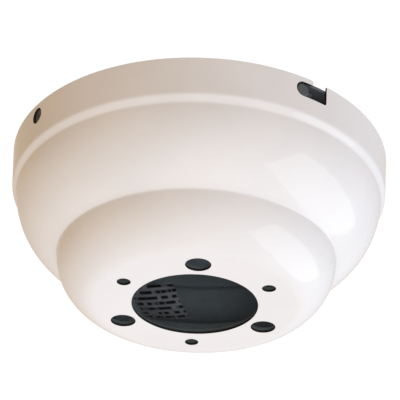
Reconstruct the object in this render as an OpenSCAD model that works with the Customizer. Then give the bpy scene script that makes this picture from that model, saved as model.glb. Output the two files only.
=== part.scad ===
// Flush-mount ceiling fan canopy, with the round plate that hangs it from the outlet box.
//
// Frame: the origin is the centre of the rim plane, which meets the ceiling. +Z points up into the
// ceiling and everything hangs below it. An azimuth is turned about +Z from -Y towards +X, so the
// motor screw pattern has one of its wide holes at azimuth 0.

/* [Canopy shell] */
// Outside diameter at the rim
rim_d = 184; // [180:1:190]
// Thickness of the pressed steel sheet
sheet_t = 1.2; // [1:0.1:1.4]
// Height of the plain band below the rim
band_h = 18.4; // [17:0.1:20]
// Inward slope of the band, in degrees
band_slope = 2.7; // [1:0.1:4]
// Radius of the bend from the band into the step
step_r = 2; // [1.5:0.1:3]
// Slope of the step, in degrees
step_turn = 35; // [30:1:40]
// Length of the step's straight stretch
step_run = 3.3; // [3:0.1:4]
// Radius of the upper bulge
upper_r = 38.1; // [37:0.1:39]
// Slope at which the upper bulge starts, in degrees
upper_start = 4; // [2:1:6]
// Slope at which the upper bulge meets the lower one, in degrees
upper_end = 65; // [60:1:66]
// Radius of the lower bulge
lower_r = 25; // [24:0.1:26]
// Slope at which the lower bulge turns into the knuckle, in degrees
lower_end = 61; // [56:1:64]
// Radius of the knuckle around the flat bottom
knuckle_r = 13.5; // [12:0.1:14]

/* [Bottom holes] */
// Diameter of the centre bore
bore_d = 60; // [56:1:62]
// Pitch circle of the screw holes
pitch_d = 78; // [76:0.5:80]
// Diameter of the motor screw holes
screw_hole_d = 6.6; // [5:0.1:7]
// Diameter of the wide clearance holes between them
wide_hole_d = 12; // [10:0.5:12]
// Thickness of the stiffening plate behind the flat bottom
plate_t = 1.6; // [1.2:0.1:2]

/* [Bayonet slots and locks] */
// Azimuth of the front slot's closed end, in degrees
slot_az = 29; // [25:0.1:32]
// Azimuth of the left lock screw, in degrees
lock_az = -58.7; // [-61:0.1:-56]
// Turn between locked and free, in degrees
twist = 5.9; // [5.5:0.1:6.2]
// Height of the slots
slot_w = 7.6; // [7.2:0.1:7.8]
// Width of a slot's entry at the rim
entry_w = 8; // [7.8:0.1:8.5]
// Depth of the slots' and lock holes' centre line below the rim
lock_depth = 6.3; // [6:0.1:6.6]
// Diameter of the lock holes in the band
lock_hole_d = 7.8; // [6:0.1:8]
// Diameter of the bayonet pins
pin_d = 6.6; // [5.8:0.1:6.6]

/* [Ceiling plate] */
// Thickness of the plate's steel
steel_t = 1.5; // [1.4:0.1:1.6]
// Outside radius of the plate
disc_r = 89.8; // [89:0.1:90]
// Outside radius of the four ears bent down from the plate
ear_r = 85; // [84.5:0.1:85]
// Width of each ear
ear_w = 18; // [17:0.5:18]
// Depth of the ears below the ceiling
ear_depth = 14; // [13:0.5:15]
// Diameter of the wire hole's bushing, inside
wire_d = 32; // [28:1:32]
// Smaller spacing of outlet-box screws
box_near = 69.85; // [69:0.05:71]
// Larger spacing of outlet-box screws
box_far = 88.9; // [88:0.05:89]
// Width of the outlet-box screw slots
box_slot_w = 5.2; // [5:0.1:5.4]

/* [Hidden] */
$fn = 96;
eps = 0.02;              // gap between pieces that only meet face to face
over = 1;                // how far a cutter runs past a face
wall_reach = 6;          // half the length of a cutter through the band
rim_r = rim_d / 2;
bore_r = bore_d / 2;
pitch_r = pitch_d / 2;
pad_t = 0.6;             // thickness of the pads between the plate and the ceiling
thread_r = 2;            // outside of the pin and lock screw threads
thread_gap = 0.05;       // running clearance of a screw in its thread
washer_gap = 0.15;       // between a washer and the thread through it
pin_reach = rim_r - 0.8; // radius at the outer ends of the bayonet pins
lock_gap = 0.3;          // between a tightened lock screw's tip and its ear
lock_reach = rim_r - 1;  // radius at the outer ends of the lock screws

// Points along an arc that leaves p at slope a0 and ends at slope a1, both measured from vertical.
function arc(p, r, a0, a1, n) = [
    for (i = [1 : n]) let (a = a0 + (a1 - a0) * i / n)
        [p[0] - r * (cos(a0) - cos(a)), p[1] - r * (sin(a) - sin(a0))]
];
function last(list) = list[len(list) - 1];
function reversed(list) = [for (i = [len(list) - 1 : -1 : 0]) list[i]];

// The path moved by t to its left, with mitred corners: the other face of a bent sheet.
function unit(v) = v / norm(v);
function left(v) = [-v[1], v[0]];
function heading(path, i) = unit(path[i + 1] - path[i]);
function shifted(path, t) = [
    for (i = [0 : len(path) - 1])
        let (a = left(heading(path, max(i - 1, 0))),
             b = left(heading(path, min(i, len(path) - 2))))
            path[i] + t * (a + b) / (1 + a * b)
];

// Outer profile of the shell, as [radius, z], from the rim down to the bore.
band_end = [rim_r - band_h * tan(band_slope), -band_h];
bend = arc(band_end, step_r, band_slope, step_turn, 4);
step_end = last(bend) - step_run * [sin(step_turn), cos(step_turn)];
upper = arc(step_end, upper_r, upper_start, upper_end, 18);
lower = arc(last(upper), lower_r, 0, lower_end, 14);
knuckle = arc(last(lower), knuckle_r, lower_end, 90, 6);
flat_z = last(knuckle)[1];
outer = concat([[rim_r, 0], band_end], bend, [step_end], upper, lower, knuckle, [[bore_r, flat_z]]);

// Inner profile, from the bore up to the rim, with its top cut level with the rim.
inner_full = shifted(reversed(outer), sheet_t);
inner = concat([for (i = [0 : len(inner_full) - 2]) inner_full[i]],
               [[rim_r - sheet_t / cos(band_slope), 0]]);

flat_r = last(knuckle)[0];                        // where the flat bottom ends
plate_r = flat_r - 1;                             // outside of the stiffening plate
plate_bore_r = bore_r + 0.8;
plate_z = flat_z + sheet_t + eps;

slot_side = slot_w / 2 - 0.06;                    // half height of the slots' straight part
slot_bottom = lock_depth + slot_w / 2;            // depth of a slot's entry
slot_wall_az = slot_az + twist + asin((slot_w / 2) / rim_r);
entry_span = entry_w / rim_r * 180 / PI;

plate_top = -pad_t;
plate_under = plate_top - steel_t;
bend_in = 0.8;                                    // radii of the two faces of a bend
bend_out = bend_in + steel_t;
box_mid = (box_near + box_far) / 4;               // nominal x of an outlet-box slot
box_slot_len = (box_far - box_near) / 2 + box_slot_w;
wire_hole_r = wire_d / 2 + 4;
tab_az = slot_az - 45;                            // ground tab, midway between two ears
hook_az = tab_az + 180;
tab_r = 48.4;                                     // outer face of the ground tab
tab_w = 12;
tab_depth = 15;
tab_hole_z = -9.5;
ground_r = 2.1;                                   // ground screw's thread
ground_washer_t = 0.7;
hook_t = 1.5;
hook_w = 10;
hook_foot = 33;                                   // radius at the inner end of the hook's foot
hook_leg_r = 48.5;
hook_rivet_r = [37, 44];
rivet_r = 1.6;
rivet_head_r = 2.9;
nut_flats = 7;                                    // across the flats of a pin's nut
nut_t = 3.2;
split_t = 1.2;                                    // thickness of a split washer
washer_r = 3.5;
washer_face = sqrt(pow(ear_r - steel_t, 2) - pow(washer_r, 2)) - eps; // on the curved ear

// Section of a strip bent down out of the plate, its outer face at radius r.
function bent_strip(r, depth) = let (mid = [r + bend_in, plate_under - bend_in]) concat(
    [[r, -depth]],
    [for (i = [0 : 4]) mid + bend_in * [-cos(22.5 * i), sin(22.5 * i)]],
    [[r + bend_out, plate_under], [r + bend_out, plate_top]],
    [for (i = [4 : -1 : 0]) mid + bend_out * [-cos(22.5 * i), sin(22.5 * i)]],
    [[r - steel_t, -depth]]);

// Puts +X of the children along the outward radius at an azimuth.
module at_az(az) { rotate([0, 0, az - 90]) children(); }

// The same, with the children's +Z along the radius and their origin at radius r and height z.
module radial(az, r, z) { at_az(az) translate([r, 0, z]) rotate([0, 90, 0]) children(); }

// A ring sector of rectangular section, from azimuth a0 over the given span.
module sector(a0, span, r0, r1, z0, z1) {
    at_az(a0) rotate_extrude(angle = span) translate([r0, z0]) square([r1 - r0, z1 - z0]);
}

// The six holes of the flat bottom: wide ones at azimuth 0, screw holes between them.
module bottom_holes(z, h) {
    for (k = [0 : 2]) {
        at_az(120 * k) translate([pitch_r, 0, z]) cylinder(d = wide_hole_d, h = h);
        at_az(120 * k + 60) translate([pitch_r, 0, z]) cylinder(d = screw_hole_d, h = h);
    }
}

// A slot that opens at the rim and turns sideways to its closed end.
module bayonet_slot(az) {
    wall = az + slot_wall_az - slot_az;
    r0 = rim_r - wall_reach;
    r1 = rim_r + wall_reach;
    radial(az, r0, -lock_depth) cylinder(d = slot_w, h = 2 * wall_reach);
    sector(az, wall - entry_span / 2 - az, r0, r1, -lock_depth - slot_side, -lock_depth + slot_side);
    sector(wall - entry_span, entry_span, r0, r1, -slot_bottom, over);
}

module canopy_shell() {
    color("ivory") difference() {
        rotate_extrude() polygon(concat(outer, inner));
        bottom_holes(flat_z - over, sheet_t + 2 * over);
        for (side = [0, 180]) {
            bayonet_slot(slot_az + side);
            radial(lock_az + side, rim_r - wall_reach, -lock_depth)
                cylinder(d = lock_hole_d, h = 2 * wall_reach);
        }
    }
}

module motor_plate() {
    color("dimgray") difference() {
        translate([0, 0, plate_z]) cylinder(r = plate_r, h = plate_t);
        translate([0, 0, plate_z - over]) cylinder(r = plate_bore_r, h = plate_t + 2 * over);
        bottom_holes(plate_z - over, plate_t + 2 * over);
    }
}

// A thin sticker that follows the inside of the upper bulge, stuck on slightly askew.
module info_label() {
    label_w = 34;
    label_h = 27;
    label_t = 0.2;
    label_az = 194.7;
    label_z = -35;
    askew = -16;
    skin = shifted(inner, eps);
    face = shifted(inner, eps + label_t);
    color("slategray") intersection() {
        rotate_extrude() polygon(concat(skin, reversed(face)));
        radial(label_az, rim_r / 2, label_z) rotate([0, 0, askew])
            translate([-label_h / 2, -label_w / 2, 0]) cube([label_h, label_w, rim_r / 2]);
    }
}

// A hexagonal nut welded inside the band behind a lock hole, curved to fit the wall.
module weld_nut(az) {
    inner_face = ear_r + 1;
    nut_room = 8;
    color("silver") difference() {
        intersection() {
            radial(az, inner_face, -lock_depth) rotate([0, 0, 30])
                cylinder(r = nut_flats / sqrt(3), h = nut_room, $fn = 6);
            translate([0, 0, -band_h])
                cylinder(r1 = rim_r - band_h * tan(band_slope) - sheet_t / cos(band_slope) - eps,
                         r2 = rim_r - sheet_t / cos(band_slope) - eps, h = band_h);
        }
        radial(az, inner_face - over, -lock_depth)
            cylinder(r = thread_r + thread_gap, h = nut_room + over);
    }
}

// A headless screw with a hexagonal socket, its tip facing an ear of the plate.
module lock_screw(az) {
    tip = ear_r + lock_gap;
    length = lock_reach - tip;
    tip_ease = 0.8;
    end_ease = 0.4;
    key_flats = 2;
    key_depth = 2.4;
    color("gray") radial(az, tip, -lock_depth) difference() {
        rotate_extrude() polygon([[0, 0], [thread_r - tip_ease, 0], [thread_r, tip_ease],
                                  [thread_r, length - end_ease], [thread_r - end_ease, length],
                                  [0, length]]);
        translate([0, 0, length - key_depth])
            cylinder(r = key_flats / sqrt(3), h = key_depth + over, $fn = 6);
    }
}

// A strip bent down out of the plate at the given azimuth, and the window that it leaves.
module strip(az, r, w, depth) {
    intersection() {
        rotate_extrude() polygon(bent_strip(r, depth));
        at_az(az) translate([0, -w / 2, -depth - over]) cube([rim_r, w, depth + 2 * over]);
    }
}
module window(az, r, w, depth) {
    at_az(az) translate([r - depth + bend_in, -w / 2, plate_under - over])
        cube([depth, w, steel_t + 2 * over]);
}

module ceiling_plate() {
    color("dimgray") difference() {
        union() {
            difference() {
                translate([0, 0, plate_under]) cylinder(r = disc_r, h = steel_t);
                for (k = [0 : 3]) window(slot_az + 90 * k, ear_r, ear_w, ear_depth);
                window(tab_az, tab_r, tab_w, tab_depth);
            }
            for (k = [0 : 3]) strip(slot_az + 90 * k, ear_r, ear_w, ear_depth);
            strip(tab_az, tab_r, tab_w, tab_depth);
        }
        translate([0, 0, plate_under - over]) cylinder(r = wire_hole_r, h = steel_t + 2 * over);
        for (side = [-1, 1]) translate([side * box_mid, 0, plate_under - over]) box_slot(0);
        for (side = [0, 180])
            radial(slot_az + side, ear_r - wall_reach, -lock_depth)
                cylinder(r = thread_r + thread_gap, h = 2 * wall_reach);
        radial(tab_az, tab_r - wall_reach, tab_hole_z)
            cylinder(r = ground_r + thread_gap, h = 2 * wall_reach);
        for (r = hook_rivet_r)
            at_az(hook_az) translate([r, 0, plate_under - over])
                cylinder(r = rivet_r + eps, h = steel_t + 2 * over);
    }
}

// The round-ended slot of an outlet-box screw, grown by the given margin all round.
module box_slot(margin) {
    half = (box_slot_len - box_slot_w) / 2;
    r = box_slot_w / 2 + margin;
    h = steel_t + pad_t + 2 * over;
    for (end = [-half, half]) translate([end, 0, 0]) cylinder(r = r, h = h);
    translate([-half, -r, 0]) cube([2 * half, 2 * r, h]);
}

// A strip hook under the plate that carries the canopy's weight while the wires are joined.
module hanging_hook() {
    curl_r = 5;
    curl_z = -20;
    foot_z = plate_under - eps - hook_t;
    path = concat([[hook_foot, foot_z], [hook_leg_r - 1, foot_z], [hook_leg_r, foot_z - 1]],
                  [for (i = [0 : 8]) let (a = 180 + 22.5 * i)
                      [hook_leg_r + curl_r + curl_r * cos(a), curl_z + curl_r * sin(a)]],
                  [[hook_leg_r + 2 * curl_r, curl_z + 5]]);
    color("lightsteelblue") difference() {
        at_az(hook_az) translate([0, hook_w / 2, 0]) rotate([90, 0, 0]) linear_extrude(hook_w)
            polygon(concat(path, reversed(shifted(path, hook_t))));
        for (r = hook_rivet_r)
            at_az(hook_az) translate([r, 0, foot_z - over])
                cylinder(r = rivet_r + eps, h = hook_t + 2 * over);
    }
}

module hook_rivets() {
    head_t = 0.7;
    tail_t = 0.5;
    z0 = plate_under - 2 * eps - hook_t;
    top = plate_top + eps;
    color("silver") for (r = hook_rivet_r) at_az(hook_az) translate([r, 0, 0]) union() {
        translate([0, 0, z0 - head_t]) cylinder(r = rivet_head_r, h = head_t);
        translate([0, 0, z0 - head_t / 2]) cylinder(r = rivet_r, h = top - z0 + head_t / 2 + tail_t / 2);
        translate([0, 0, top]) cylinder(r = rivet_head_r, h = tail_t);
    }
}

// A shouldered stud: thread through the ear, two flats for a spanner, plain pin in the slot.
module bayonet_pin(az) {
    tail = 7.6;
    flats_len = 3.6;
    across_flats = 5.6;
    ease = 0.5;
    pin_r = pin_d / 2;
    inside = ear_r - tail;
    color("silver") radial(az, 0, -lock_depth) difference() {
        rotate_extrude() polygon([[0, inside], [thread_r - ease, inside], [thread_r, inside + ease],
                                  [thread_r, ear_r + eps], [pin_r, ear_r + eps],
                                  [pin_r, pin_reach - ease], [pin_r - ease, pin_reach],
                                  [0, pin_reach]]);
        for (turn = [0, 180]) rotate(turn)
            translate([-pin_r, across_flats / 2, ear_r - over])
                cube([2 * pin_r, pin_r, flats_len + over]);
    }
}

module pin_washer(az) {
    split_lean = 25;
    split_gap = 0.8;
    color("silver") radial(az, washer_face - split_t, -lock_depth) difference() {
        cylinder(r = washer_r, h = split_t);
        translate([0, 0, -over]) cylinder(r = thread_r + washer_gap, h = split_t + 2 * over);
        rotate([split_lean, 0, 0]) translate([0, -split_gap / 2, -washer_r])
            cube([washer_r + over, split_gap, 2 * washer_r]);
    }
}

module pin_nut(az) {
    color("silver") radial(az, washer_face - split_t - eps - nut_t, -lock_depth) difference() {
        rotate([0, 0, 30]) cylinder(r = nut_flats / sqrt(3), h = nut_t, $fn = 6);
        translate([0, 0, -over]) cylinder(r = thread_r + thread_gap, h = nut_t + 2 * over);
    }
}

module ground_screw() {
    face = tab_r + 2 * eps + ground_washer_t;
    length = 7;
    flange_r = 5;
    flange_t = 0.9;
    head_r = 4;
    head_t = 3.2;
    driver_w = 1.2;
    driver_depth = 1.2;
    color("green") radial(tab_az, face, tab_hole_z) difference() {
        union() {
            translate([0, 0, -length]) cylinder(r = ground_r, h = length + flange_t / 2);
            cylinder(r = flange_r, h = flange_t);
            cylinder(r = head_r, h = head_t, $fn = 6);
        }
        translate([-head_r, -driver_w / 2, head_t - driver_depth])
            cube([2 * head_r, driver_w, driver_depth + over]);
    }
}

module ground_washer() {
    teeth = 10;
    outer_r = 4.8;
    notch_r = 0.7;
    face = tab_r + eps;
    color("silver") radial(tab_az, face, tab_hole_z) difference() {
        cylinder(r = outer_r, h = ground_washer_t);
        translate([0, 0, -over])
            cylinder(r = ground_r + washer_gap, h = ground_washer_t + 2 * over);
        for (k = [0 : teeth - 1])
            rotate(360 * k / teeth) translate([outer_r + 0.1, 0, -over])
                cylinder(r = notch_r, h = ground_washer_t + 2 * over, $fn = 24);
    }
}

// A snap-in plastic bushing that keeps the wires off the edge of the plate's hole.
module wire_bushing() {
    r = wire_d / 2;
    top = -0.1;
    bottom = -5.2;
    ease = 0.5;
    collar = wire_hole_r - 0.1;
    flange_r = wire_hole_r + 3.5;
    color("black") rotate_extrude() polygon([
        [r, bottom], [flange_r - ease, bottom], [flange_r, bottom + ease],
        [flange_r, plate_under - eps], [collar, plate_under - eps],
        [collar, plate_top + eps], [wire_hole_r + ease, plate_top + eps],
        [collar, top], [r, top]]);
}

module isolator_pad(side) {
    pad_w = 18;
    pad_l = 22;
    pad_margin = 0.4;
    color("darkslategray") difference() {
        translate([side * box_mid - pad_w / 2, -pad_l / 2, plate_top + eps])
            cube([pad_w, pad_l, pad_t - eps]);
        translate([side * box_mid, 0, plate_top - over]) box_slot(pad_margin);
    }
}

canopy_shell();
motor_plate();
info_label();
weld_nut(lock_az);  // weld_nut_left
weld_nut(lock_az + 180);  // weld_nut_right
lock_screw(lock_az);  // lock_screw_left
lock_screw(lock_az + 180);  // lock_screw_right
ceiling_plate();
hanging_hook();
hook_rivets();
bayonet_pin(slot_az);  // bayonet_pin_front
bayonet_pin(slot_az + 180);  // bayonet_pin_rear
pin_washer(slot_az);  // pin_washer_front
pin_washer(slot_az + 180);  // pin_washer_rear
pin_nut(slot_az);  // pin_nut_front
pin_nut(slot_az + 180);  // pin_nut_rear
ground_screw();
ground_washer();
wire_bushing();
isolator_pad(-1);  // isolator_pad_left
isolator_pad(1);  // isolator_pad_right
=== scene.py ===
"""Looks for the flush-mount ceiling fan canopy: enamelled shell, dark inside, zinc and primed steel."""

import math

import bmesh
import bpy
import numpy as np
from mathutils import Matrix, Vector


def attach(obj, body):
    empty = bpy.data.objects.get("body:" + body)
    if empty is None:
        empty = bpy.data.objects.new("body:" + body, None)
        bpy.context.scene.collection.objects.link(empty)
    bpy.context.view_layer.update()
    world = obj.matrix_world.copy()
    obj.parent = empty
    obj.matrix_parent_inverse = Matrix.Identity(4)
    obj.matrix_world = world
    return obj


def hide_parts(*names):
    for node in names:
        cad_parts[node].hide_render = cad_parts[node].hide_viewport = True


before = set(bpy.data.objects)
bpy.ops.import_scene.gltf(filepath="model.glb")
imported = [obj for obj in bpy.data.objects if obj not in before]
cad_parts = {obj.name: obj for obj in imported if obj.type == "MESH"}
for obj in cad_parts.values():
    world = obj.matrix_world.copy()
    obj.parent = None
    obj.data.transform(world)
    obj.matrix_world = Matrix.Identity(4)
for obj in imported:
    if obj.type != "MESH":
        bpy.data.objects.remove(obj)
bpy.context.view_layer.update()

MM = 0.001

# The shell's driving sizes, in millimetres and degrees, as the CAD has them.
RIM_R = 92.0
SHEET_T = 1.2
BAND_H, BAND_SLOPE = 18.4, 2.7
STEP_R, STEP_TURN, STEP_RUN = 2.0, 35.0, 3.3
UPPER_R, UPPER_START, UPPER_END = 38.1, 4.0, 65.0
LOWER_R, LOWER_END = 25.0, 61.0
KNUCKLE_R = 13.5
BORE_R, PITCH_R = 30.0, 39.0
SCREW_HOLE_R, WIDE_HOLE_R = 3.3, 6.0
SLOT_AZ, LOCK_AZ, TWIST = 29.0, -58.7, 5.9
SLOT_W, ENTRY_W, LOCK_DEPTH, LOCK_HOLE_R = 7.6, 8.0, 6.3, 3.9

# How finely the shell is drawn, in millimetres and degrees.
OUTLINE_STEP, CORNER_REACH = 0.45, 0.6
LIP_EASE = 1.2
BAND_CUT, FLAT_CUT = 14.0, 6.0
TURNS = 240
SHELL_CREASE, LABEL_CREASE = 32, 40


# ---------------------------------------------------------------- node helpers
def new_material(name, color, rough, metallic=0.0, coat=0.0):
    """A material with its shader's plain values set on the shader's own sockets."""
    mat = bpy.data.materials.new(name)
    mat.use_nodes = True
    tree = mat.node_tree
    shader = tree.nodes["Principled BSDF"]
    shader.inputs["Base Color"].default_value = (*color, 1)
    shader.inputs["Roughness"].default_value = rough
    shader.inputs["Metallic"].default_value = metallic
    shader.inputs["Coat Weight"].default_value = coat
    shader.inputs["Coat Roughness"].default_value = 0.05
    return mat, tree, shader


def node(tree, kind, **values):
    """A node of that kind; values name its properties or its input sockets."""
    made = tree.nodes.new(kind)
    for key, value in values.items():
        if hasattr(made, key):
            setattr(made, key, value)
        else:
            made.inputs[key.replace("_", " ")].default_value = value
    return made


def noise(tree, coords, scale, detail=4.0, rough=0.55):
    made = node(tree, "ShaderNodeTexNoise")
    made.inputs["Scale"].default_value = scale
    made.inputs["Detail"].default_value = detail
    made.inputs["Roughness"].default_value = rough
    tree.links.new(coords, made.inputs["Vector"])
    return made.outputs["Fac"]


def ramp(tree, value, stops):
    """A colour ramp: stops are (place, colour)."""
    made = node(tree, "ShaderNodeValToRGB")
    marks = made.color_ramp.elements
    while len(marks) < len(stops):
        marks.new(0.5)
    for mark, (place, color) in zip(marks, stops):
        mark.position = place
        mark.color = (*color, 1)
    tree.links.new(value, made.inputs["Fac"])
    return made.outputs["Color"]


def spread(tree, value, low, high, to_low, to_high):
    """value from low..high mapped to to_low..to_high."""
    made = node(tree, "ShaderNodeMapRange")
    for name, number in (("From Min", low), ("From Max", high), ("To Min", to_low), ("To Max", to_high)):
        made.inputs[name].default_value = number
    tree.links.new(value, made.inputs["Value"])
    return made.outputs["Result"]


def bump(tree, shader, height, strength, distance):
    made = node(tree, "ShaderNodeBump")
    made.inputs["Strength"].default_value = strength
    made.inputs["Distance"].default_value = distance
    tree.links.new(height, made.inputs["Height"])
    tree.links.new(made.outputs["Normal"], shader.inputs["Normal"])


def object_coords(tree):
    return node(tree, "ShaderNodeTexCoord").outputs["Object"]


def shade(color, factor):
    return tuple(min(1.0, c * factor) for c in color)


def vary(tree, shader, pattern, color, low, high):
    """Base colour that runs from low to high times color with the pattern."""
    stops = [(0.3, shade(color, low)), (0.7, shade(color, high))]
    tree.links.new(ramp(tree, pattern, stops), shader.inputs["Base Color"])


def enamel():
    """Baked gloss enamel: near-white, faintly warm, with a fine orange peel."""
    color = (0.80, 0.785, 0.77)
    mat, tree, shader = new_material("enamel", color, 0.35, coat=1.0)
    shader.inputs["Specular IOR Level"].default_value = 0.2
    coords = object_coords(tree)
    vary(tree, shader, noise(tree, coords, 22, 3), color, 0.97, 1.03)
    tree.links.new(spread(tree, noise(tree, coords, 60, 5), 0.3, 0.7, 0.3, 0.42), shader.inputs["Roughness"])
    bump(tree, shader, noise(tree, coords, 420, 2), 0.06, 0.0002)
    return mat


def primer(name, color, rough):
    """Thin e-coat primer on pressed steel: satin, mottled, a little grainy."""
    mat, tree, shader = new_material(name, color, rough)
    coords = object_coords(tree)
    mottle = noise(tree, coords, 90, 6)
    vary(tree, shader, mottle, color, 0.88, 1.12)
    tree.links.new(spread(tree, mottle, 0.3, 0.7, rough - 0.06, rough + 0.08), shader.inputs["Roughness"])
    bump(tree, shader, noise(tree, coords, 900, 3), 0.15, 0.0002)
    return mat


def plated(name, color, rough):
    """Zinc-plated steel with fine drawn marks."""
    mat, tree, shader = new_material(name, color, rough, metallic=0.9)
    coords = object_coords(tree)
    stretch = node(tree, "ShaderNodeMapping")
    stretch.inputs["Scale"].default_value = (1, 1, 7)
    tree.links.new(coords, stretch.inputs["Vector"])
    marks = noise(tree, stretch.outputs["Vector"], 260, 4)
    vary(tree, shader, marks, color, 0.85, 1.1)
    tree.links.new(spread(tree, marks, 0.3, 0.7, rough - 0.08, rough + 0.1), shader.inputs["Roughness"])
    bump(tree, shader, marks, 0.1, 0.0001)
    return mat


def moulded(name, color, rough, grain):
    """Moulded plastic or rubber with a fine grain."""
    mat, tree, shader = new_material(name, color, rough)
    coords = object_coords(tree)
    vary(tree, shader, noise(tree, coords, 70, 4), color, 0.85, 1.2)
    bump(tree, shader, noise(tree, coords, grain, 3), 0.25, 0.0002)
    return mat


# ---------------------------------------------------------------- the shell's profile
def arc(start, r, a0, a1, step=1.5):
    """Points after start along an arc whose slope from vertical goes from a0 to a1."""
    count = max(3, round(abs(a1 - a0) / step))
    points = []
    for i in range(1, count + 1):
        a, b = math.radians(a0), math.radians(a0 + (a1 - a0) * i / count)
        inward, down = r * (math.cos(a) - math.cos(b)), r * (math.sin(b) - math.sin(a))
        points.append((start[0] - inward, start[1] - down))
    return points


def straight(a, b, step):
    """Points after a on the way to b, no further apart than step."""
    count = max(1, math.ceil(math.dist(a, b) / step))
    return [(a[0] + (b[0] - a[0]) * i / count, a[1] + (b[1] - a[1]) * i / count) for i in range(1, count + 1)]


def softened(points, reach, step):
    """The path with its corners rounded over about reach, and its ends kept."""
    p = np.array(points)
    s = np.concatenate([[0], np.cumsum(np.hypot(*np.diff(p, axis=0).T))])
    n = round(s[-1] / step)
    t = np.linspace(0, s[-1], n + 1)
    q = np.column_stack([np.interp(t, s, p[:, 0]), np.interp(t, s, p[:, 1])])
    k = max(1, round(reach / (s[-1] / n)))
    out = q.copy()
    for i in range(len(q)):
        m = min(k, i, len(q) - 1 - i)
        out[i] = q[i - m : i + m + 1].mean(axis=0)
    return out


def offset(path, t):
    """The path moved by t to its left."""
    d = np.gradient(path, axis=0)
    d /= np.linalg.norm(d, axis=1)[:, None]
    return path + t * np.column_stack([-d[:, 1], d[:, 0]])


band_end = (RIM_R - BAND_H * math.tan(math.radians(BAND_SLOPE)), -BAND_H)
outline = [(RIM_R, 0.0)] + straight((RIM_R, 0.0), band_end, 1.0)
outline += arc(outline[-1], STEP_R, BAND_SLOPE, STEP_TURN, 6)
turn = math.radians(STEP_TURN)
step_end = (outline[-1][0] - STEP_RUN * math.sin(turn), outline[-1][1] - STEP_RUN * math.cos(turn))
outline += straight(outline[-1], step_end, 1.0)
outline += arc(outline[-1], UPPER_R, UPPER_START, UPPER_END)
outline += arc(outline[-1], LOWER_R, 0, LOWER_END)
outline += arc(outline[-1], KNUCKLE_R, LOWER_END, 90)
FLAT_Z = outline[-1][1]
outline += straight(outline[-1], (BORE_R, FLAT_Z), 1.0)
outer = softened(outline, CORNER_REACH, OUTLINE_STEP)
outer[-1] = (BORE_R, FLAT_Z)
inner = offset(outer, -SHEET_T)
inner = np.vstack([inner[:-1:2], inner[-1:]])[::-1]
inner[0][0] = BORE_R
inner[0][1] = FLAT_Z + SHEET_T
inner[-1][1] = 0.0


def lathe(name, profile, segments):
    """A closed ring of revolution about Z from a closed (radius, z) profile in millimetres."""
    angles = np.linspace(0, 2 * math.pi, segments, endpoint=False)
    profile = np.array(profile)
    n = len(profile)
    verts = np.empty((segments, n, 3))
    verts[:, :, 0] = np.cos(angles)[:, None] * profile[None, :, 0]
    verts[:, :, 1] = np.sin(angles)[:, None] * profile[None, :, 0]
    verts[:, :, 2] = profile[None, :, 1]
    faces = []
    for i in range(segments):
        a, b = i * n, ((i + 1) % segments) * n
        for j in range(n):
            k = (j + 1) % n
            faces.append((a + j, a + k, b + k, b + j))
    mesh = bpy.data.meshes.new(name)
    mesh.from_pydata((verts.reshape(-1, 3) * MM).tolist(), [], faces)
    mesh.update()
    return mesh


def add(name, mesh, *materials):
    """A new object in the scene with those materials."""
    obj = bpy.data.objects.new(name, mesh)
    bpy.context.scene.collection.objects.link(obj)
    for mat in materials:
        mesh.materials.append(mat)
    return obj


def azimuth(deg):
    """Unit vector at an azimuth turned about +Z from -Y towards +X."""
    a = math.radians(deg)
    return Vector((math.sin(a), -math.cos(a), 0))


def at_az(deg, r, z):
    """A matrix whose +X points out along the radius and +Z up, in metres."""
    out = azimuth(deg)
    side = Vector((0, 0, 1)).cross(out)
    m = Matrix((out, side, Vector((0, 0, 1)))).transposed().to_4x4()
    m.translation = (out * r + Vector((0, 0, z))) * MM
    return m


def prism(outline_yz, depth, matrix):
    """Vertices and faces of a prism: the outline in the matrix's Y and Z, centred on X and depth long."""
    n = len(outline_yz)
    ends = (-depth / 2, depth / 2)
    verts = [matrix @ Vector((x * MM, y * MM, z * MM)) for x in ends for y, z in outline_yz]
    faces = [tuple(range(n))[::-1], tuple(range(n, 2 * n))]
    faces += [(i, (i + 1) % n, n + (i + 1) % n, n + i) for i in range(n)]
    return verts, faces


def circle(r, cy=0.0, cz=0.0, count=64, a0=0.0, a1=360.0):
    """Points round a circle, or along a part of it with both ends."""
    closed = abs(a1 - a0) >= 360
    angles = [math.radians(a0 + (a1 - a0) * i / count) for i in range(count if closed else count + 1)]
    return [(cy + r * math.cos(a), cz + r * math.sin(a)) for a in angles]


def joined(name, parts):
    """One mesh from several (vertices, faces) pairs."""
    verts, faces = [], []
    for v, f in parts:
        base = len(verts)
        verts += [tuple(p) for p in v]
        faces += [tuple(base + i for i in face) for face in f]
    mesh = bpy.data.meshes.new(name)
    mesh.from_pydata(verts, [], faces)
    mesh.update()
    return mesh


def slot_cut(az):
    """The bayonet slot: round closed end, straight run, entry open at the rim, with eased lip corners."""
    r = SLOT_W / 2
    width = math.radians(TWIST) * RIM_R + r
    left = width - ENTRY_W
    ease = LIP_EASE
    path = circle(r, count=20, a0=90, a1=270)
    path += [(y, -r) for y in np.linspace(0, width, 8)[1:-1]]
    path += circle(ease, width - ease, -r + ease, 6, -90, 0)
    path += [(width, z) for z in (r, LOCK_DEPTH + 2)]
    path += [(left - ease, LOCK_DEPTH + 2), (left - ease, LOCK_DEPTH)]
    path += circle(ease, left - ease, LOCK_DEPTH - ease, 6, 90, 0)[1:]
    path += circle(ease, left - ease, r + ease, 6, 0, -90)
    path = [(RIM_R * math.sin(y / RIM_R), z) for y, z in path]
    return prism(path, BAND_CUT, at_az(az, RIM_R, -LOCK_DEPTH))


def hole_z(az, r_hole):
    """A cutter down through the flat bottom on the screws' pitch circle."""
    m = at_az(az, PITCH_R, FLAT_Z) @ Matrix.Rotation(math.radians(90), 4, "Y")
    return prism(circle(r_hole), FLAT_CUT, m)


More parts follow.
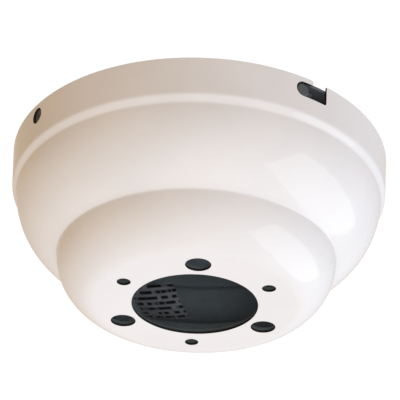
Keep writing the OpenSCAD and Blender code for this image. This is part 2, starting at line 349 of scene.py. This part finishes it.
def cut(obj, cutter_mesh):
    """obj's mesh with the cutter taken away."""
    cutter = bpy.data.objects.new("cutter", cutter_mesh)
    bpy.context.scene.collection.objects.link(cutter)
    mod = obj.modifiers.new("cut", "BOOLEAN")
    mod.operation = "DIFFERENCE"
    mod.solver = "EXACT"
    mod.object = cutter
    made = bpy.data.meshes.new_from_object(obj.evaluated_get(bpy.context.evaluated_depsgraph_get()))
    obj.modifiers.clear()
    old = obj.data
    obj.data = made
    bpy.data.meshes.remove(old)
    bpy.data.objects.remove(cutter)


def smooth_by_angle(mesh, degrees):
    """Smooth shading with an edge marked sharp where its two faces turn by more than the angle."""
    bm = bmesh.new()
    bm.from_mesh(mesh)
    limit = math.radians(degrees)
    for face in bm.faces:
        face.smooth = True
    for edge in bm.edges:
        edge.smooth = len(edge.link_faces) != 2 or edge.calc_face_angle(0) < limit
    bm.to_mesh(mesh)
    bm.free()


def to_path(points, path):
    """Distance of each (radius, z) point from the path, and the path's direction there."""
    best = np.full(len(points), 1e9)
    way = np.zeros((len(points), 2))
    for a, b in zip(path[:-1], path[1:]):
        d = b - a
        t = np.clip(((points - a) @ d) / (d @ d), 0, 1)
        dist = np.linalg.norm(points - (a + t[:, None] * d), axis=1)
        near = dist < best
        best[near] = dist[near]
        way[near] = d / np.linalg.norm(d)
    return best, way


# ---------------------------------------------------------------- materials
ENAMEL = enamel()
DARK = primer("dark_primer", (0.26, 0.31, 0.345), 0.5)
BACKING = primer("backing_primer", (0.10, 0.12, 0.125), 0.5)
PLATE = primer("plate_primer", (0.11, 0.12, 0.135), 0.5)
# Near-black cut edge: painted shade that darkens the rims of the holes, slots and bore, far darker than bare
# sheet steel.
SHADED_EDGE = primer("cut_edge_painted_shade", (0.010, 0.010, 0.010), 0.6)
ZINC = plated("zinc", (0.52, 0.53, 0.53), 0.35)
BLACK = primer("black_oxide", (0.062, 0.074, 0.078), 0.42)
GREEN = primer("ground_green", (0.02, 0.13, 0.04), 0.35)
BUSHING = moulded("bushing", (0.012, 0.012, 0.013), 0.5, 700)
PAD = moulded("pad", (0.02, 0.02, 0.022), 0.75, 500)

# ---------------------------------------------------------------- the shell
shell = add("shell", lathe("shell", np.vstack([outer, inner]), TURNS))
cuts = [slot_cut(SLOT_AZ), slot_cut(SLOT_AZ + 180)]
cuts += [prism(circle(LOCK_HOLE_R), BAND_CUT, at_az(LOCK_AZ + side, RIM_R, -LOCK_DEPTH)) for side in (0, 180)]
for k in range(3):
    cuts += [hole_z(120 * k, WIDE_HOLE_R), hole_z(120 * k + 60, SCREW_HOLE_R)]
cut(shell, joined("cutters", cuts))
smooth_by_angle(shell.data, SHELL_CREASE)

# Each face takes its finish from its side of the sheet: enamel outside, primer inside, or a near-black cut
# edge of painted shade.
ON_SIDE, ALONG_SIDE = 0.12, 0.8
mesh = shell.data
count = len(mesh.polygons)
centres = np.empty(count * 3)
normals = np.empty(count * 3)
mesh.polygons.foreach_get("center", centres)
mesh.polygons.foreach_get("normal", normals)
centres, normals = centres.reshape(-1, 3) / MM, normals.reshape(-1, 3)
radius = np.hypot(centres[:, 0], centres[:, 1])
rz = np.column_stack([radius, centres[:, 2]])
flat_normal = np.column_stack([(normals[:, :2] * centres[:, :2]).sum(axis=1) / radius, normals[:, 2]])
kind = np.full(count, 2)
for index, path in ((0, outer), (1, inner)):
    far, way = to_path(rz, path)
    facing = np.abs(flat_normal[:, 0] * way[:, 1] - flat_normal[:, 1] * way[:, 0])
    kind[(far < ON_SIDE) & (facing > ALONG_SIDE)] = index
kind[(centres[:, 2] > -0.02) & (normals[:, 2] > 0.9)] = 0
mesh.materials.clear()
for mat in (ENAMEL, DARK, SHADED_EDGE):
    mesh.materials.append(mat)
mesh.polygons.foreach_set("material_index", kind.astype(np.int32))
mesh.update()
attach(shell, "canopy")
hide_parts("canopy_shell")

# ---------------------------------------------------------------- the label
LABEL_AZ, LABEL_Z, LABEL_TURN = 194.7, -35.0, -16.0
LABEL_W, LABEL_H = 34.0, 27.0
LABEL_COLS, LABEL_ROWS = 48, 40
LABEL_BACK, LABEL_FACE = 0.05, 0.2


def label_mesh():
    """A thin sheet on the inside of the upper bulge, with UVs that run along and down it."""
    cols, rows = LABEL_COLS, LABEL_ROWS
    turn = math.radians(LABEL_TURN)
    order = np.argsort(inner[:, 1])
    wall_z, wall_r = inner[order, 1], inner[order, 0]
    out = np.array(azimuth(LABEL_AZ))
    side = np.cross((0, 0, 1), out)
    verts, uvs, faces = [], [], []
    for thick in (LABEL_BACK, LABEL_FACE):
        for j in range(rows + 1):
            for i in range(cols + 1):
                a = (j / rows - 0.5) * LABEL_H
                b = (i / cols - 0.5) * LABEL_W
                down = a * math.cos(turn) - b * math.sin(turn)
                across = a * math.sin(turn) + b * math.cos(turn)
                z = LABEL_Z - down
                r = np.interp(z, wall_z, wall_r) - thick
                deep = math.sqrt(r * r - across * across)
                verts.append(tuple((out * deep + side * across) * MM + np.array((0, 0, z * MM))))
                uvs.append((i / cols, 1 - j / rows))
    n, layer = cols + 1, (cols + 1) * (rows + 1)
    for j in range(rows):
        for i in range(cols):
            q = (j * n + i, j * n + i + 1, (j + 1) * n + i + 1, (j + 1) * n + i)
            faces.append(tuple(layer + k for k in q))
            faces.append(q[::-1])
    ring = list(range(n)) + [j * n + cols for j in range(1, rows + 1)]
    ring += [rows * n + i for i in range(cols - 1, -1, -1)] + [j * n for j in range(rows - 1, 0, -1)]
    for a, b in zip(ring, ring[1:] + ring[:1]):
        faces.append((a, b, layer + b, layer + a))
    made = bpy.data.meshes.new("label")
    made.from_pydata(verts, [], faces)
    layer_uv = made.uv_layers.new(name="UVMap")
    for loop in made.loops:
        layer_uv.data[loop.index].uv = uvs[loop.vertex_index]
    made.update()
    return made


def label_material():
    """A dull sticker with rows of broken, blurred dark bars and a blank margin at one side."""
    mat, tree, shader = new_material("label_print", (0.1, 0.11, 0.13), 0.5)
    links = tree.links
    uv = node(tree, "ShaderNodeTexCoord").outputs["UV"]
    split = node(tree, "ShaderNodeSeparateXYZ")
    links.new(uv, split.inputs[0])

    def math_node(op, *values):
        made = node(tree, "ShaderNodeMath", operation=op)
        for k, value in enumerate(values):
            if isinstance(value, (int, float)):
                made.inputs[k].default_value = value
            else:
                links.new(value, made.inputs[k])
        return made.outputs[0]

    u, v = split.outputs[0], split.outputs[1]
    rows = math_node("MULTIPLY", v, 7.0)
    row = math_node("FLOOR", rows)
    from_middle = math_node("ABSOLUTE", math_node("SUBTRACT", math_node("FRACT", rows), 0.5))
    bar = spread(tree, from_middle, 0.16, 0.38, 1.0, 0.0)
    place = node(tree, "ShaderNodeCombineXYZ")
    links.new(math_node("MULTIPLY", u, 11.0), place.inputs[0])
    links.new(math_node("MULTIPLY", row, 3.7), place.inputs[1])
    words = noise(tree, place.outputs[0], 1.0, 1.0, 0.4)
    gaps = spread(tree, words, 0.38, 0.50, 0.0, 1.0)
    inside = spread(tree, u, 0.70, 0.76, 1.0, 0.0)
    printed = math_node("MULTIPLY", math_node("MULTIPLY", bar, gaps), inside)
    mix = node(tree, "ShaderNodeMix", data_type="RGBA")
    links.new(printed, mix.inputs["Factor"])
    paper = ramp(tree, noise(tree, uv, 12, 4), [(0.3, (0.42, 0.46, 0.51)), (0.7, (0.53, 0.58, 0.64))])
    links.new(paper, mix.inputs[6])
    mix.inputs[7].default_value = (0.02, 0.023, 0.03, 1)
    links.new(mix.outputs[2], shader.inputs["Base Color"])
    bump(tree, shader, noise(tree, uv, 40, 3), 0.1, 0.0001)
    return mat


label = add("label", label_mesh(), label_material())
smooth_by_angle(label.data, LABEL_CREASE)
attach(label, "canopy")
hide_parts("info_label")

# ---------------------------------------------------------------- carried-over CAD nodes
LOOKS = {
    "motor_plate": BACKING,
    "ceiling_plate": PLATE,
    "weld_nut_left": ZINC,
    "weld_nut_right": ZINC,
    "lock_screw_left": BLACK,
    "lock_screw_right": BLACK,
    "hanging_hook": ZINC,
    "hook_rivets": ZINC,
    "bayonet_pin_front": BLACK,
    "bayonet_pin_rear": BLACK,
    "pin_washer_front": ZINC,
    "pin_washer_rear": ZINC,
    "pin_nut_front": ZINC,
    "pin_nut_rear": ZINC,
    "ground_screw": GREEN,
    "ground_washer": ZINC,
    "wire_bushing": BUSHING,
    "isolator_pad_left": PAD,
    "isolator_pad_right": PAD,
}
for name, look in LOOKS.items():
    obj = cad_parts[name]
    if not obj.material_slots:
        obj.data.materials.append(look)
    for material_slot in obj.material_slots:
        material_slot.material = look

# ---------------------------------------------------------------- floor, light, camera
FLOOR_Z, FLOOR_HALF = -2.4, 20.0
corners = [(x * FLOOR_HALF, y * FLOOR_HALF, FLOOR_Z) for x, y in ((-1, -1), (1, -1), (1, 1), (-1, 1))]
floor_mesh = bpy.data.meshes.new("floor")
floor_mesh.from_pydata(corners, [], [(0, 1, 2, 3)])
floor_mat, _, floor_shader = new_material("floor", (0.82, 0.82, 0.82), 0.8)
floor_shader.inputs["Emission Color"].default_value = (0.80, 0.88, 1.0, 1)
floor_shader.inputs["Emission Strength"].default_value = 0.5
floor = add("floor", floor_mesh, floor_mat)
floor.visible_diffuse = floor.visible_glossy = False

world = bpy.data.worlds.new("world")
bpy.context.scene.world = world
world.use_nodes = True
wt = world.node_tree
wt.nodes.clear()
path_node = node(wt, "ShaderNodeLightPath")
seen = node(wt, "ShaderNodeBackground")
seen.inputs["Color"].default_value = (1, 1, 1, 1)
seen.inputs["Strength"].default_value = 1.05
# Soft surroundings: each channel is even, plus a slope towards the right, the back and the floor.
EVEN = (0.80, 0.73, 0.69)
TO_RIGHT = (0.24, 0.34, 0.47)
TO_BACK = (0.20, 0.21, 0.22)
TO_FLOOR = (0.40, 0.46, 0.54)
LEAST = 0.02
lit = node(wt, "ShaderNodeBackground")
heading = node(wt, "ShaderNodeTexCoord").outputs["Generated"]
mixed = node(wt, "ShaderNodeCombineColor")
for channel, (even, right, back, down) in enumerate(zip(EVEN, TO_RIGHT, TO_BACK, TO_FLOOR)):
    dot = node(wt, "ShaderNodeVectorMath", operation="DOT_PRODUCT")
    dot.inputs[1].default_value = (right, back, -down)
    wt.links.new(heading, dot.inputs[0])
    total = node(wt, "ShaderNodeMath", operation="ADD")
    total.inputs[1].default_value = even
    wt.links.new(dot.outputs["Value"], total.inputs[0])
    kept = node(wt, "ShaderNodeMath", operation="MAXIMUM")
    kept.inputs[1].default_value = LEAST
    wt.links.new(total.outputs[0], kept.inputs[0])
    wt.links.new(kept.outputs[0], mixed.inputs[channel])
wt.links.new(mixed.outputs[0], lit.inputs["Color"])
blend = node(wt, "ShaderNodeMixShader")
world_out = node(wt, "ShaderNodeOutputWorld")
wt.links.new(path_node.outputs["Is Camera Ray"], blend.inputs[0])
wt.links.new(lit.outputs[0], blend.inputs[1])
wt.links.new(seen.outputs[0], blend.inputs[2])
wt.links.new(blend.outputs[0], world_out.inputs[0])


MIDDLE = (0, 0, -0.04)


def area_light(name, place, size, power, color):
    """A rectangular light at a place, turned towards the middle of the canopy and unseen by the camera."""
    data = bpy.data.lights.new(name, "AREA")
    data.shape = "RECTANGLE"
    data.size, data.size_y = size
    data.energy = power
    data.color = color
    obj = bpy.data.objects.new(name, data)
    bpy.context.scene.collection.objects.link(obj)
    obj.location = place
    obj.rotation_mode = "QUATERNION"
    obj.rotation_quaternion = (Vector(MIDDLE) - Vector(place)).to_track_quat("-Z", "Y")
    obj.visible_camera = False
    return obj


# The window shows only in reflections; the front and top lights only fill.
window = area_light("window", (1.02, 0.04, -0.68), (1.66, 0.92), 4.8, (0.88, 0.93, 1.0))
window.visible_diffuse = False
front = area_light("front", (0.0, -1.10, -0.70), (0.35, 0.35), 3.0, (1.0, 0.98, 0.96))
front.visible_glossy = False
top = area_light("top", (0.0, 0.0, 1.5), (0.3, 0.3), 11.0, (0.6, 0.8, 1.0))
top.visible_glossy = False

# The camera looks up at the canopy from in front; small turns frame it as the view asks.
DISTANCE, ELEVATION, RIG_TURN = 0.9, 32.3, -1.35
YAW, PITCH, ROLL = -0.05, -1.06, -2.0
LENS, SENSOR = 163.5, 36.0


def turned(v, axis, degrees):
    return Matrix.Rotation(math.radians(degrees), 3, axis) @ v


e = math.radians(ELEVATION)
forward = Vector((0, math.cos(e), math.sin(e)))
right = Vector((1, 0, 0))
up = right.cross(forward)
eye = -forward * DISTANCE
forward, right = turned(forward, up, YAW), turned(right, up, YAW)
forward, up = turned(forward, right, PITCH), turned(up, right, PITCH)
up, right = turned(up, forward, ROLL), turned(right, forward, ROLL)
rig = Matrix.Rotation(math.radians(RIG_TURN), 3, "Z")
camera_data = bpy.data.cameras.new("camera")
camera_data.lens, camera_data.sensor_width = LENS, SENSOR
camera_data.clip_start, camera_data.clip_end = 0.05, 50
camera = bpy.data.objects.new("camera", camera_data)
bpy.context.scene.collection.objects.link(camera)
axes = Matrix((rig @ right, rig @ up, rig @ -forward)).transposed().to_4x4()
axes.translation = rig @ eye
camera.matrix_world = axes
bpy.context.scene.camera = camera
bpy.context.scene.view_settings.view_transform = "Standard"
bpy.context.scene.view_settings.look = "None"
